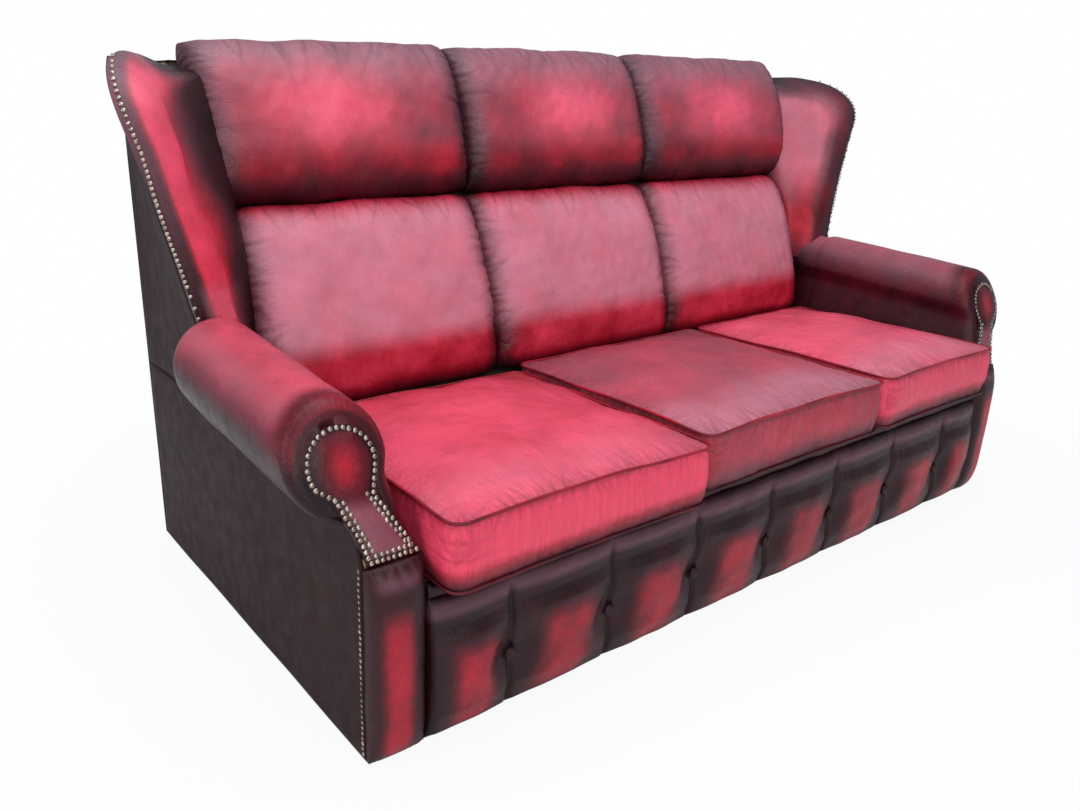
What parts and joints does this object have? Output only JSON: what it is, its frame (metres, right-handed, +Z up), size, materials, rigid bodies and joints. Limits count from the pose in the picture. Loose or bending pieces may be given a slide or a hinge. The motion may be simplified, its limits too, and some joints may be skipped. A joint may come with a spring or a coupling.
{
  "type": "sofa",
  "caption": "High-backed wing sofa in red leather with scroll arms, nailed trim, fixed back pads and loose seat cushions on a fluted, buttoned base.",
  "frame": {"origin": "centre of the footprint on the floor", "axes": "+X along the width to the sitter's left, +Y towards the back, +Z up; the seat faces -Y"},
  "size_m": [2.0194, 0.9683, 1.0526],
  "materials": {
    "red_leather": "satin",
    "cushion_leather": "satin",
    "panel_leather": "satin",
    "dark_leather": "satin",
    "nail_metal": "satin",
    "timber": "matte",
    "webbing": "matte",
    "lining_cloth": "matte",
    "foam": "matte",
    "glide_plastic": "matte"
  },
  "bodies": {
    "sofa": {"front_base_rail": "timber", "front_seat_rail": "timber", "front_board": "timber", "back_base_rail": "timber", "back_seat_rail": "timber", "side_base_rail_left": "timber", "side_base_rail_right": "timber", "side_seat_rail_left": "timber", "side_seat_rail_right": "timber", "seat_cross_rails": "timber", "corner_blocks": "timber", "arm_post_left": "timber", "arm_post_right": "timber", "arm_rail_left": "timber", "arm_rail_right": "timber", "back_post_left": "timber", "back_post_right": "timber", "back_stiles": "timber", "lumbar_rail": "timber", "top_board": "timber", "wing_stile_left": "timber", "wing_stile_right": "timber", "seat_webbing": "webbing", "back_webbing": "webbing", "back_lining": "lining_cloth", "seat_deck": "lining_cloth", "deck_lip": "dark_leather", "dust_cloth": "lining_cloth", "glides": "glide_plastic", "outside_back": "panel_leather", "outside_arm_left": "panel_leather", "outside_arm_right": "panel_leather", "outside_wing_left": "panel_leather", "outside_wing_right": "panel_leather", "arm_cover_left": "red_leather", "arm_cover_right": "red_leather", "wing_pad_left": "red_leather", "wing_pad_right": "red_leather", "post_pad_left": "red_leather", "post_pad_right": "red_leather", "arm_facing_left": "red_leather", "arm_facing_right": "red_leather", "nailheads": "nail_metal", "front_border": "red_leather", "border_buttons": "dark_leather", "lumbar_pad_left": "red_leather", "lumbar_pad_middle": "red_leather", "lumbar_pad_right": "red_leather", "head_pad_left": "red_leather", "head_pad_middle": "red_leather", "head_pad_right": "red_leather"},
    "cushion_left": {"seat_cushion_left": "cushion_leather", "seat_piping_left": "dark_leather", "seat_foam_left": "foam"},
    "cushion_middle": {"seat_cushion_middle": "cushion_leather", "seat_piping_middle": "dark_leather", "seat_foam_middle": "foam"},
    "cushion_right": {"seat_cushion_right": "cushion_leather", "seat_piping_right": "dark_leather", "seat_foam_right": "foam"}
  },
  "joints": [
    {"name": "lift_left", "type": "slide", "parent": "sofa", "child": "cushion_left", "axis": [0, -0.7071, 0.7071], "range_m": [0, 0.9]},
    {"name": "lift_middle", "type": "slide", "parent": "sofa", "child": "cushion_middle", "axis": [0, -0.7071, 0.7071], "range_m": [0, 0.9]},
    {"name": "lift_right", "type": "slide", "parent": "sofa", "child": "cushion_right", "axis": [0, -0.7071, 0.7071], "range_m": [0, 0.9]}
  ]
}
